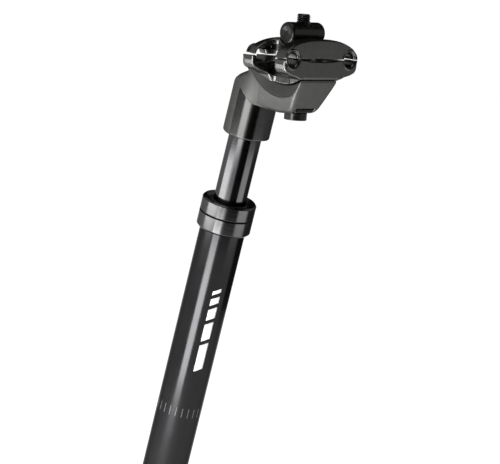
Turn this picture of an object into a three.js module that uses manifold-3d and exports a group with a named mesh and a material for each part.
// Suspension seatpost: an outer tube that a bicycle's seat tube clamps, a sprung shaft that
// slides in it, and a saddle clamp of two halves that one bolt and a barrel nut draw together.
//
// Millimetres, +Z up along the post. The origin is on the post's axis at the lower end of the
// outer tube. +X points to the rear of the bicycle, the way the head sets the saddle back.
import * as THREE from 'three';
import { ConvexGeometry } from 'three/addons/geometries/ConvexGeometry.js';
import { mergeVertices } from 'three/addons/utils/BufferGeometryUtils.js';
import Module from 'manifold-3d';

// ---- driving dimensions -------------------------------------------------------------------
const COLLAR_Z = 232;            // underside of the collar, the deepest the post can be inserted
const TUBE_R = 13.6;             // 27.2 mm seat tube size
const TUBE_BORE_R = 11.6;
const TUBE_TOP_Z = COLLAR_Z + 14;
const COLLAR_R = 16.2;
const COLLAR_H = 18.6;
const COLLAR_SEAM_Z = COLLAR_Z + 9.5;
const COLLAR_SEAM_H = 0.7;
const SHAFT_R = 9.7;
const SHAFT_BORE_R = 7.2;
const SHAFT_Z0 = COLLAR_Z - 72;
const SOCKET_R = 13.9;           // lower cylinder of the head, which holds the shaft
const SOCKET_Z0 = COLLAR_Z + 59.5;
const SOCKET_DEPTH = 25;
const CLEARANCE = 0.1;           // radial gap of a bush, plug or ring to its neighbour
const TURNED_GAP = 0.3;          // gap between pieces of the tilted clamp group

const TRAVEL = 38;               // suspension stroke; it sets the lengths inside the tube
const PRELOAD = 6;               // how far the plug can be screwed in

const CLAMP_TILT = THREE.MathUtils.degToRad(13);          // rear of the rails higher
const RAIL_CENTRE = [28.1, 0, COLLAR_Z + 117.1];          // where the bolt crosses rail height
const RAIL_R = 3.5;
const RAIL_GROOVE_R = RAIL_R + 0.2;
const RAIL_SPACING = 44;
const CLAMP_HALF_LENGTH = 18;
const CLAMP_HALF_WIDTH = 28.8;
const CRADLE_R = 36;             // serrated seat of the head, about the tilt axis
const CRADLE_CENTRE_W = 20.1;    // height of the tilt axis above the rails, along the bolt
const TILT_BACK = THREE.MathUtils.degToRad(3.5);          // how far the bolt can swing rearward
const TILT_FORWARD = THREE.MathUtils.degToRad(8.5);
const BOLT_R = 3.95;
const BOLT_HEAD_R = 6.5;
const BOLT_HEAD_H = 4.6;            // low head
const BOLT_HEAD_W = -31.5;       // upper side of the bolt's head, along the bolt
const BOLT_TIP_W = 24.2;
const WASHER_SEAT_R = 49.6;        // hollow underside of the head, about the tilt axis
const NUT_R = 6.25;
const NUT_W = 13.3;
const NUT_HALF_LENGTH = 12.7;

const SEGMENTS = 40;

// ---- materials ----------------------------------------------------------------------------
function finish(color, roughness, metalness) {
  return () => new THREE.MeshStandardMaterial({ color, roughness, metalness });
}
const blackAnodised = finish(0x101012, 0.18, 0.9);
const gunmetal = finish(0x55554f, 0.42, 0.8);
const polishedGrey = finish(0x6a6a68, 0.25, 0.9);
const blackOxide = finish(0x1d1c1a, 0.4, 0.8);
const blackRubber = finish(0x0c0c0c, 0.85, 0);
const whiteAcetal = finish(0xd9d6cc, 0.5, 0);
const bareAlloy = finish(0xa9abad, 0.35, 0.95);
const springSteel = finish(0x77797c, 0.35, 0.95);
const urethane = finish(0xb98a3a, 0.6, 0);

// ---- solids -------------------------------------------------------------------------------
const wasm = await Module();
wasm.setup();

/** Merges shared corners, drops collapsed triangles and turns the faces outward. */
function closed(geometry) {
  const bare = geometry.clone();
  for (const name of ['normal', 'uv']) bare.deleteAttribute(name);
  const merged = mergeVertices(bare, 1e-4);
  const point = merged.getAttribute('position');
  const index = merged.getIndex().array;
  const kept = [];
  let volume = 0;
  const [a, b, c] = [new THREE.Vector3(), new THREE.Vector3(), new THREE.Vector3()];
  for (let i = 0; i < index.length; i += 3) {
    const [p, q, r] = [index[i], index[i + 1], index[i + 2]];
    if (p === q || q === r || r === p) continue;
    kept.push(p, q, r);
    a.fromBufferAttribute(point, p);
    b.fromBufferAttribute(point, q);
    c.fromBufferAttribute(point, r);
    volume += a.dot(b.cross(c));
  }
  merged.setIndex(volume < 0 ? kept.reverse() : kept);
  return merged;
}

function toSolid(geometry) {
  const body = closed(geometry);
  return new wasm.Manifold(new wasm.Mesh({
    numProp: 3,
    vertProperties: new Float32Array(body.getAttribute('position').array),
    triVerts: new Uint32Array(body.getIndex().array),
  }));
}

function toGeometry(solid) {
  const mesh = solid.getMesh();
  const geometry = new THREE.BufferGeometry();
  geometry.setAttribute('position', new THREE.BufferAttribute(mesh.vertProperties, 3));
  geometry.setIndex(new THREE.BufferAttribute(mesh.triVerts, 1));
  return geometry;
}

/** Turns a profile of [radius, height] pairs about Z; a profile off the axis is closed up. */
function turned(profile, segments = SEGMENTS) {
  const onAxis = profile[0][0] === 0 && profile[profile.length - 1][0] === 0;
  const outline = onAxis ? profile : [...profile, profile[0]];
  const points = outline.map(([r, z]) => new THREE.Vector2(r, z));
  return closed(new THREE.LatheGeometry(points, segments).rotateX(Math.PI / 2));
}

/** A ring or sleeve between two radii, with a small chamfer on its outer edges. */
function sleeve(outer, inner, z0, z1, chamfer = 0.4) {
  return turned([
    [inner, z0], [outer - chamfer, z0], [outer, z0 + chamfer],
    [outer, z1 - chamfer], [outer - chamfer, z1], [inner, z1],
  ]);
}

function rod(radius, z0, z1, segments = SEGMENTS) {
  return turned([[0, z0], [radius, z0], [radius, z1], [0, z1]], segments);
}

function outlineOf(points) {
  return new THREE.Shape(points.map(([x, y]) => new THREE.Vector2(x, y)));
}

/** Extrudes an outline of [x, z] pairs along Y, to both sides of the middle plane. */
function acrossY(shape, halfWidth) {
  const options = { depth: 2 * halfWidth, bevelEnabled: false, curveSegments: 12 };
  return new THREE.ExtrudeGeometry(shape, options)
    .rotateX(Math.PI / 2)
    .translate(0, halfWidth, 0);
}

/** Extrudes an outline of [y, z] pairs along X, from x0 to x1. */
function alongX(shape, x0, x1) {
  const options = { depth: x1 - x0, bevelEnabled: false, curveSegments: 12 };
  return new THREE.ExtrudeGeometry(shape, options)
    .rotateX(Math.PI / 2)
    .rotateZ(Math.PI / 2)
    .translate(x0, 0, 0);
}

/** Extrudes an outline of [x, y] pairs along Z, from z0 to z1. */
function alongZ(shape, z0, z1) {
  const options = { depth: z1 - z0, bevelEnabled: false, curveSegments: 12 };
  return new THREE.ExtrudeGeometry(shape, options).translate(0, 0, z0);
}

/** A round bar along Y through (x, z). */
function barY(radius, x, z, halfLength, segments = 48) {
  return new THREE.CylinderGeometry(radius, radius, 2 * halfLength, segments).translate(x, 0, z);
}

function box(x0, x1, y0, y1, z0, z1) {
  return new THREE.BoxGeometry(x1 - x0, y1 - y0, z1 - z0)
    .translate((x0 + x1) / 2, (y0 + y1) / 2, (z0 + z1) / 2);
}

function hexBar(acrossFlats, z0, z1) {
  return rod(acrossFlats / Math.sqrt(3), z0, z1, 6);
}

const post = new THREE.Group();

function place(name, geometry, material, parent = post) {
  const mesh = new THREE.Mesh(geometry, material());
  mesh.name = name;
  parent.add(mesh);
  return mesh;
}

// ---- outer tube, collar and what they hold ------------------------------------------------
const PLUG_Z0 = 2;
const PLUG_H = 12;
const SEAT_Z0 = PLUG_Z0 + PLUG_H + TURNED_GAP;
const SEAT_H = 3;
const SPRING_Z0 = SEAT_Z0 + SEAT_H;
const END_PLUG_FLANGE_H = 4;
const SPRING_Z1 = SHAFT_Z0 - END_PLUG_FLANGE_H;
const PILOT_LENGTH = 16;
const PILOT_R = 4.6;
const WIRE_R = 1.5;
const COIL_R = 7.9;
const COIL_TURNS = 14;
const CLOSED_TURNS = 1.5;        // flat turns at each end of the spring

place('outer_tube', turned([
  [TUBE_BORE_R, 0], [TUBE_R - 0.6, 0], [TUBE_R, 0.6], [TUBE_R, TUBE_TOP_Z],
  [TUBE_BORE_R, TUBE_TOP_Z],
]), blackAnodised);

const preloadPlug = toSolid(sleeve(TUBE_BORE_R - CLEARANCE, 2, PLUG_Z0, PLUG_Z0 + PLUG_H, 0.6));
place('preload_plug', toGeometry(
  preloadPlug.subtract(toSolid(hexBar(8, PLUG_Z0 - 1, PLUG_Z0 + 7))),
), bareAlloy);

place('spring_seat', turned([
  [0, SEAT_Z0], [TUBE_BORE_R - 0.3, SEAT_Z0], [TUBE_BORE_R - 0.3, SPRING_Z0],
  [PILOT_R, SPRING_Z0], [PILOT_R - 0.6, SPRING_Z0 + 5], [0, SPRING_Z0 + 5],
]), whiteAcetal);

/** Centre line of the coil: flat closed turns at both ends and an even pitch between. */
class CoilLine extends THREE.Curve {
  getPoint(t) {
    const turns = COIL_TURNS + 2 * CLOSED_TURNS;
    const turn = t * turns;
    const z0 = SPRING_Z0 + WIRE_R + CLEARANCE;
    const z1 = SPRING_Z1 - WIRE_R - CLEARANCE;
    const closedRise = CLOSED_TURNS * 2 * (WIRE_R + CLEARANCE);
    const rise = z1 - z0 - 2 * closedRise;
    let z;
    if (turn < CLOSED_TURNS) z = z0 + closedRise * (turn / CLOSED_TURNS);
    else if (turn > turns - CLOSED_TURNS) z = z1 - closedRise * ((turns - turn) / CLOSED_TURNS);
    else z = z0 + closedRise + rise * ((turn - CLOSED_TURNS) / COIL_TURNS);
    const angle = 2 * Math.PI * turn;
    return new THREE.Vector3(COIL_R * Math.cos(angle), COIL_R * Math.sin(angle), z);
  }
}
const wireSection = new THREE.Shape().absarc(0, 0, WIRE_R, 0, 2 * Math.PI);
place('coil_spring', closed(new THREE.ExtrudeGeometry(wireSection, {
  extrudePath: new CoilLine(),
  steps: (COIL_TURNS + 2 * CLOSED_TURNS) * 10,
  curveSegments: 3,
  bevelEnabled: false,
})), springSteel);

const ELASTOMER_Z0 = SPRING_Z0 + 5 + CLEARANCE;
const ELASTOMER_Z1 = SPRING_Z1 - PILOT_LENGTH - TRAVEL - PRELOAD - 0.5;
place('elastomer_rod', turned([
  [0, ELASTOMER_Z0], [3.6, ELASTOMER_Z0], [4.4, ELASTOMER_Z0 + 1], [4.4, ELASTOMER_Z1 - 1],
  [3.6, ELASTOMER_Z1], [0, ELASTOMER_Z1],
], 24), urethane);

const BUSH_Z0 = COLLAR_Z - 18;
const BUSH_FLANGE_Z = TUBE_TOP_Z + CLEARANCE;
const BUSH_FLANGE_H = 1.5;
const KEY_HALF_WIDTH = 1.5;
const KEY_Z0 = BUSH_Z0 + 6;
const KEY_Z1 = KEY_Z0 + 18;
const KEY_R0 = SHAFT_R - 1.45;
const upperBush = toSolid(turned([
  [SHAFT_R + CLEARANCE, BUSH_Z0], [TUBE_BORE_R - CLEARANCE, BUSH_Z0],
  [TUBE_BORE_R - CLEARANCE, BUSH_FLANGE_Z], [TUBE_R - 0.4, BUSH_FLANGE_Z],
  [TUBE_R - 0.4, BUSH_FLANGE_Z + BUSH_FLANGE_H],
  [SHAFT_R + CLEARANCE, BUSH_FLANGE_Z + BUSH_FLANGE_H],
]));
const keyPocket = toSolid(box(
  -TUBE_BORE_R - 1, -SHAFT_R + 1, -KEY_HALF_WIDTH - CLEARANCE, KEY_HALF_WIDTH + CLEARANCE,
  KEY_Z0 - CLEARANCE, KEY_Z1 + CLEARANCE,
));
place('upper_bushing', toGeometry(upperBush.subtract(keyPocket)), whiteAcetal);
place('guide_key', box(
  -TUBE_BORE_R + 0.3, -KEY_R0, -KEY_HALF_WIDTH, KEY_HALF_WIDTH, KEY_Z0, KEY_Z1,
), bareAlloy);

place('collar_ring', turned([
  [TUBE_R + CLEARANCE, COLLAR_Z], [COLLAR_R - 1.2, COLLAR_Z], [COLLAR_R, COLLAR_Z + 1.2],
  [COLLAR_R, COLLAR_SEAM_Z - 0.3], [COLLAR_R - 0.3, COLLAR_SEAM_Z],
  [TUBE_R + CLEARANCE, COLLAR_SEAM_Z],
]), blackAnodised);

const SEAM_TOP_Z = COLLAR_SEAM_Z + COLLAR_SEAM_H;
place('collar_seal', sleeve(
  COLLAR_R - 0.6, TUBE_R + 0.2, COLLAR_SEAM_Z + CLEARANCE, SEAM_TOP_Z - CLEARANCE, 0.1,
), blackRubber);

const COLLAR_TOP_Z = COLLAR_Z + COLLAR_H;
const WIPER_Z0 = BUSH_FLANGE_Z + BUSH_FLANGE_H + CLEARANCE;
const WIPER_R = 12.2;
place('collar_cap', turned([
  [TUBE_R + CLEARANCE, SEAM_TOP_Z], [COLLAR_R - 0.3, SEAM_TOP_Z],
  [COLLAR_R, SEAM_TOP_Z + 0.3], [COLLAR_R, COLLAR_TOP_Z - 1.2],
  [COLLAR_R - 1.2, COLLAR_TOP_Z], [WIPER_R + CLEARANCE, COLLAR_TOP_Z],
  [WIPER_R + CLEARANCE, WIPER_Z0], [TUBE_R + CLEARANCE, WIPER_Z0],
]), blackAnodised);

place('wiper_seal', turned([
  [SHAFT_R + 0.3, WIPER_Z0 + CLEARANCE], [WIPER_R, WIPER_Z0 + CLEARANCE],
  [WIPER_R, COLLAR_TOP_Z - 0.9], [SHAFT_R + 0.9, COLLAR_TOP_Z - 1.4],
  [SHAFT_R + 0.15, COLLAR_TOP_Z - 0.5], [SHAFT_R + 0.15, COLLAR_TOP_Z - 1.6],
]), blackRubber);

// ---- shaft and what slides with it --------------------------------------------------------
const SHAFT_Z1 = SOCKET_Z0 + SOCKET_DEPTH;
const CLIP_Z0 = SHAFT_Z0 + 1.8;
const CLIP_H = 1.2;
const LOWER_BUSH_Z0 = CLIP_Z0 + CLIP_H + CLEARANCE;
const LOWER_BUSH_H = 20;
const BUMPER_H = 8;
const SPACER_Z0 = LOWER_BUSH_Z0 + LOWER_BUSH_H + CLEARANCE;
const BUMPER_Z1 = BUSH_Z0 - 0.2;
const BUMPER_Z0 = BUMPER_Z1 - BUMPER_H;

const shaftTube = toSolid(turned([
  [SHAFT_BORE_R, SHAFT_Z0], [SHAFT_R - 0.5, SHAFT_Z0], [SHAFT_R, SHAFT_Z0 + 0.5],
  [SHAFT_R, CLIP_Z0], [SHAFT_R - 0.7, CLIP_Z0], [SHAFT_R - 0.7, CLIP_Z0 + CLIP_H],
  [SHAFT_R, CLIP_Z0 + CLIP_H], [SHAFT_R, SHAFT_Z1], [SHAFT_BORE_R, SHAFT_Z1],
]));
const keyway = toSolid(box(
  -SHAFT_R - 1, -KEY_R0 + 0.15, -KEY_HALF_WIDTH - 0.1, KEY_HALF_WIDTH + 0.1,
  KEY_Z0 - 1, KEY_Z1 + TRAVEL + 1,
));
place('shaft', toGeometry(shaftTube.subtract(keyway)), blackAnodised);

place('shaft_end_plug', turned([
  [0, SPRING_Z1 - PILOT_LENGTH], [PILOT_R - 0.8, SPRING_Z1 - PILOT_LENGTH],
  [PILOT_R, SPRING_Z1 - PILOT_LENGTH + 1], [PILOT_R, SPRING_Z1], [SHAFT_R - 0.2, SPRING_Z1],
  [SHAFT_R - 0.2, SHAFT_Z0 - CLEARANCE], [SHAFT_BORE_R - CLEARANCE, SHAFT_Z0 - CLEARANCE],
  [SHAFT_BORE_R - CLEARANCE, SHAFT_Z0 + 12], [0, SHAFT_Z0 + 12],
], 32), bareAlloy);

const clip = toSolid(turned([
  [SHAFT_R - 0.6, CLIP_Z0 + 0.1], [TUBE_BORE_R - 0.6, CLIP_Z0 + 0.1],
  [TUBE_BORE_R - 0.6, CLIP_Z0 + CLIP_H - 0.1], [SHAFT_R - 0.6, CLIP_Z0 + CLIP_H - 0.1],
], 32));
place('retaining_ring', toGeometry(clip.subtract(
  toSolid(box(-TUBE_R, 0, -2.5, 2.5, CLIP_Z0 - 1, CLIP_Z0 + CLIP_H + 1)),
)), springSteel);

const slidingR = TUBE_BORE_R - CLEARANCE;
const aroundShaftR = SHAFT_R + CLEARANCE;
place('lower_bushing',
  sleeve(slidingR, aroundShaftR, LOWER_BUSH_Z0, LOWER_BUSH_Z0 + LOWER_BUSH_H), whiteAcetal);
place('top_out_spacer',
  sleeve(slidingR - 0.4, aroundShaftR, SPACER_Z0, BUMPER_Z0 - CLEARANCE), bareAlloy);
place('top_out_bumper',
  sleeve(slidingR - 0.3, aroundShaftR, BUMPER_Z0, BUMPER_Z1, 1), blackRubber);

// ---- clamp group: its own frame has the rails along X and the bolt along Z ------------------
const clampGroup = new THREE.Group();
clampGroup.position.set(...RAIL_CENTRE);
clampGroup.rotation.y = -CLAMP_TILT;
post.add(clampGroup);
const railY = RAIL_SPACING / 2;

/** A solid of the clamp's frame, moved to the post's frame. */
function fromClamp(solid) {
  return solid.rotate([0, -THREE.MathUtils.radToDeg(CLAMP_TILT), 0]).translate(RAIL_CENTRE);
}

/** Mirrors an outline drawn on the +Y side, [y, z] from the outside in, to both sides. */
function mirroredShape(half) {
  const left = half.filter(([y]) => y > 0).map(([y, z]) => [-y, z]).reverse();
  return outlineOf([...half, ...left]);
}

const RIB_INNER_X = 8.2;
const WAIST_Y = 12.4;

/** Plan of both halves: a cross rib at each end, joined by a narrow waist. */
function butterfly(z0, z1) {
  const corner = 2.5;
  const quarter = [
    [RIB_INNER_X + 0.6, CLAMP_HALF_WIDTH], [CLAMP_HALF_LENGTH - corner, CLAMP_HALF_WIDTH],
    [CLAMP_HALF_LENGTH - 0.7, CLAMP_HALF_WIDTH - 0.7],
    [CLAMP_HALF_LENGTH, CLAMP_HALF_WIDTH - corner],
  ];
  const waist = [[RIB_INNER_X - 2, WAIST_Y], [RIB_INNER_X, WAIST_Y + 2]];
  const upperRight = [...waist, ...quarter];
  const flip = (points, sx, sy) => points.map(([x, y]) => [sx * x, sy * y]);
  return toSolid(alongZ(outlineOf([
    ...upperRight,
    ...flip(upperRight, 1, -1).reverse(),
    ...flip(upperRight, -1, -1),
    ...flip(upperRight, -1, 1).reverse(),
  ]), z0, z1));
}

/** The two rail grooves, flared where they leave each rib. */
function railGrooves() {
  const flareR = 5.6;
  const flare = 2.6;
  const outer = CLAMP_HALF_LENGTH;
  const inner = RIB_INNER_X;
  const profile = [
    [0, inner - 1], [flareR, inner - 1], [flareR, inner], [RAIL_GROOVE_R, inner + flare],
    [RAIL_GROOVE_R, outer - flare], [flareR, outer], [flareR, outer + 1], [0, outer + 1],
  ];
  const mouth = toSolid(turned(profile, 32).rotateY(Math.PI / 2));
  const all = [];
  for (const side of [-railY, railY]) {
    all.push(mouth.translate([0, side, 0]), mouth.mirror([1, 0, 0]).translate([0, side, 0]));
  }
  return all.reduce((sum, one) => sum.add(one));
}

const boltHole = toSolid(rod(BOLT_R + 0.5, -40, 40, 32));
const SPLIT_HALF_GAP = 0.6;
const fullLength = (shape) => toSolid(alongX(shape, -CLAMP_HALF_LENGTH, CLAMP_HALF_LENGTH));
const aboutTiltAxis = (radius, halfLength) =>
  toSolid(barY(radius, 0, CRADLE_CENTRE_W, halfLength, 96));

// Lower half: hollowed a little between the grooves, falling from the outer ends of the ribs to
// a round underside that fits the cradle.
const lowerRibs = fullLength(mirroredShape([
  [0, -SPLIT_HALF_GAP - 1.2], [8, -SPLIT_HALF_GAP - 0.9], [15, -SPLIT_HALF_GAP],
  [CLAMP_HALF_WIDTH, -SPLIT_HALF_GAP], [CLAMP_HALF_WIDTH, -3.6], [27.4, -5.8], [22, -8.2],
  [14.6, -12.6], [14.6, -17], [0, -17],
]));
place('lower_clamp', toGeometry(
  lowerRibs
    .intersect(butterfly(-20, 2))
    .intersect(aboutTiltAxis(CRADLE_R - TURNED_GAP, 40))
    .subtract(railGrooves())
    .subtract(boltHole),
), polishedGrey, clampGroup);

// Upper half: an arch that grows from front to rear, with sloping ends, cut to two ribs, and a
// trough across the waist for the nut.
const UPPER_FRONT_X = -15.6;
const ARCH_FRONT_SCALE = 0.84;
const archOutline = [[0, 11.6], [8, 11.2], [15, 10.1], [22, 8], [26.4, 5.8], [28.4, 3.2],
  [CLAMP_HALF_WIDTH, SPLIT_HALF_GAP]];
const archEnds = [[UPPER_FRONT_X, ARCH_FRONT_SCALE], [CLAMP_HALF_LENGTH, 1]];
const upperArch = toSolid(new ConvexGeometry(archEnds.flatMap(([x, scale]) =>
  archOutline.flatMap(([y, w]) => [-1, 1].map((side) =>
    new THREE.Vector3(x, side * y * (0.6 + 0.4 * scale), Math.max(w * scale, SPLIT_HALF_GAP)))))));
const upperSide = toSolid(acrossY(outlineOf([
  [UPPER_FRONT_X, 0], [CLAMP_HALF_LENGTH, 0], [CLAMP_HALF_LENGTH, 6], [15.5, 12],
  [UPPER_FRONT_X + 2.4, 12], [UPPER_FRONT_X, 5],
]), 40));
const nutTrough = toSolid(barY(NUT_R + TURNED_GAP, 0, NUT_W, 30, 32));
place('upper_clamp', toGeometry(
  upperArch
    .intersect(butterfly(-2, 13))
    .intersect(upperSide)
    .subtract(nutTrough)
    .subtract(railGrooves())
    .subtract(boltHole),
), polishedGrey, clampGroup);

const nutBar = toSolid(turned([
  [0, -NUT_HALF_LENGTH], [NUT_R - 1.3, -NUT_HALF_LENGTH], [NUT_R, 1.3 - NUT_HALF_LENGTH],
  [NUT_R, NUT_HALF_LENGTH - 1.3], [NUT_R - 1.3, NUT_HALF_LENGTH], [0, NUT_HALF_LENGTH],
], 32).rotateX(Math.PI / 2).translate(0, 0, NUT_W));
const nutThread = toSolid(rod(BOLT_R + TURNED_GAP, 0, 40, 32));
place('barrel_nut', toGeometry(nutBar.subtract(nutThread)), blackOxide, clampGroup);

// Washer: flat under the bolt's head, hollow above to follow the head's round underside.
const WASHER_W = BOLT_HEAD_W + TURNED_GAP;
place('curved_washer', toGeometry(
  toSolid(box(-7, 7, -6.8, 6.8, WASHER_W, WASHER_W + 5))
    .subtract(aboutTiltAxis(WASHER_SEAT_R + TURNED_GAP, 20))
    .subtract(boltHole),
), blackOxide, clampGroup);

const boltBody = toSolid(turned([
  [0, BOLT_HEAD_W - BOLT_HEAD_H], [BOLT_HEAD_R - 0.6, BOLT_HEAD_W - BOLT_HEAD_H],
  [BOLT_HEAD_R, BOLT_HEAD_W - BOLT_HEAD_H + 0.6], [BOLT_HEAD_R, BOLT_HEAD_W],
  [BOLT_R, BOLT_HEAD_W], [BOLT_R, BOLT_TIP_W - 0.8], [BOLT_R - 0.8, BOLT_TIP_W],
  [0, BOLT_TIP_W],
], 32));
const hexSocket = toSolid(hexBar(5, BOLT_HEAD_W - BOLT_HEAD_H - 1, BOLT_HEAD_W - 1.6));
place('clamp_bolt', toGeometry(boltBody.subtract(hexSocket)), blackOxide, clampGroup);

// ---- head ---------------------------------------------------------------------------------
const HEAD_HALF_WIDTH = 15.6;
const CRADLE_STEP = 1.3;         // how far the rim around the cradle is set in at each side
const CRADLE_RIM = 6;

/** Lower cylinder of the head, up to the middle of the arm. */
const socket = toSolid(turned([
  [0, SOCKET_Z0], [SOCKET_R - 1.4, SOCKET_Z0], [SOCKET_R, SOCKET_Z0 + 1.4],
  [SOCKET_R, COLLAR_Z + 84], [0, COLLAR_Z + 84],
]));

/** Side view of the arm: the knee over the socket, the two horns of the cradle, the chin. */
function armSide() {
  const shape = new THREE.Shape();
  const at = (x, z) => [x, COLLAR_Z + z];
  shape.moveTo(...at(-SOCKET_R, 79));
  shape.lineTo(...at(-SOCKET_R, 84.5));
  shape.quadraticCurveTo(...at(-SOCKET_R, 90), ...at(-6.5, 93.6));
  shape.lineTo(...at(2.8, 100));
  shape.lineTo(...at(-0.8, 102.6));
  shape.lineTo(...at(-1.2, 105));
  shape.lineTo(...at(14, 105));
  shape.lineTo(...at(20, 111.5));
  shape.lineTo(...at(47.4, 111.5));
  shape.lineTo(...at(47.4, 108));
  shape.quadraticCurveTo(...at(45, 99), ...at(43.2, 93));
  shape.quadraticCurveTo(...at(42, 87.2), ...at(37.5, 85.8));
  shape.lineTo(...at(18, 84.6));
  shape.quadraticCurveTo(...at(SOCKET_R, 84), ...at(SOCKET_R - 0.6, 79));
  return shape;
}

/** Plan of the arm: round over the socket, widening to the cradle. */
function armPlan() {
  const shape = new THREE.Shape();
  shape.moveTo(0, -SOCKET_R);
  shape.lineTo(12, -HEAD_HALF_WIDTH);
  shape.lineTo(50, -HEAD_HALF_WIDTH);
  shape.lineTo(50, HEAD_HALF_WIDTH);
  shape.lineTo(12, HEAD_HALF_WIDTH);
  shape.lineTo(0, SOCKET_R);
  shape.absarc(0, 0, SOCKET_R, Math.PI / 2, 1.5 * Math.PI);
  return shape;
}

/** The arm's bulk: full width over the socket, its sides drawn in towards the chin. */
function armBulk() {
  const corners = [
    [-15, SOCKET_R, 112], [-15, SOCKET_R, 76], [12, HEAD_HALF_WIDTH, 112], [12, SOCKET_R, 76],
    [49, HEAD_HALF_WIDTH, 112], [49, HEAD_HALF_WIDTH, 107.5], [49, 8.2, 85], [14, 13.4, 78],
  ];
  return toSolid(new ConvexGeometry(corners.flatMap(([x, y, z]) => [
    new THREE.Vector3(x, y, COLLAR_Z + z), new THREE.Vector3(x, -y, COLLAR_Z + z),
  ])));
}

const arm = toSolid(acrossY(armSide(), 20))
  .intersect(toSolid(alongZ(armPlan(), COLLAR_Z + 70, COLLAR_Z + 120)))
  .intersect(armBulk());
const sideSteps = aboutTiltAxis(CRADLE_R + CRADLE_RIM, 30).subtract(toSolid(
  box(-80, 80, CRADLE_STEP - HEAD_HALF_WIDTH, HEAD_HALF_WIDTH - CRADLE_STEP, -80, 80),
));
const washerChannel = toSolid(box(-17, 34, -7.1, 7.1, -48, -18))
  .subtract(aboutTiltAxis(WASHER_SEAT_R, 20));

/** The room that the bolt needs to swing about the tilt axis between its two limits. */
function boltSlot() {
  const half = BOLT_R + 0.65;
  const edge = (w, angle) => Math.sin(angle) * (CRADLE_CENTRE_W - w) + Math.sign(angle) * half;
  return toSolid(acrossY(outlineOf([
    [edge(-8, TILT_BACK), -8], [edge(-38, TILT_BACK), -38],
    [edge(-38, -TILT_FORWARD), -38], [edge(-8, -TILT_FORWARD), -8],
  ]), half));
}
const shaftBore = toSolid(rod(SHAFT_R + CLEARANCE, SOCKET_Z0 - 1, SHAFT_Z1 + 0.2));

place('head', toGeometry(
  socket.add(arm)
    .subtract(shaftBore)
    .subtract(fromClamp(aboutTiltAxis(CRADLE_R, 30)))
    .subtract(fromClamp(sideSteps))
    .subtract(fromClamp(washerChannel))
    .subtract(fromClamp(boltSlot())),
), gunmetal);

export default post;
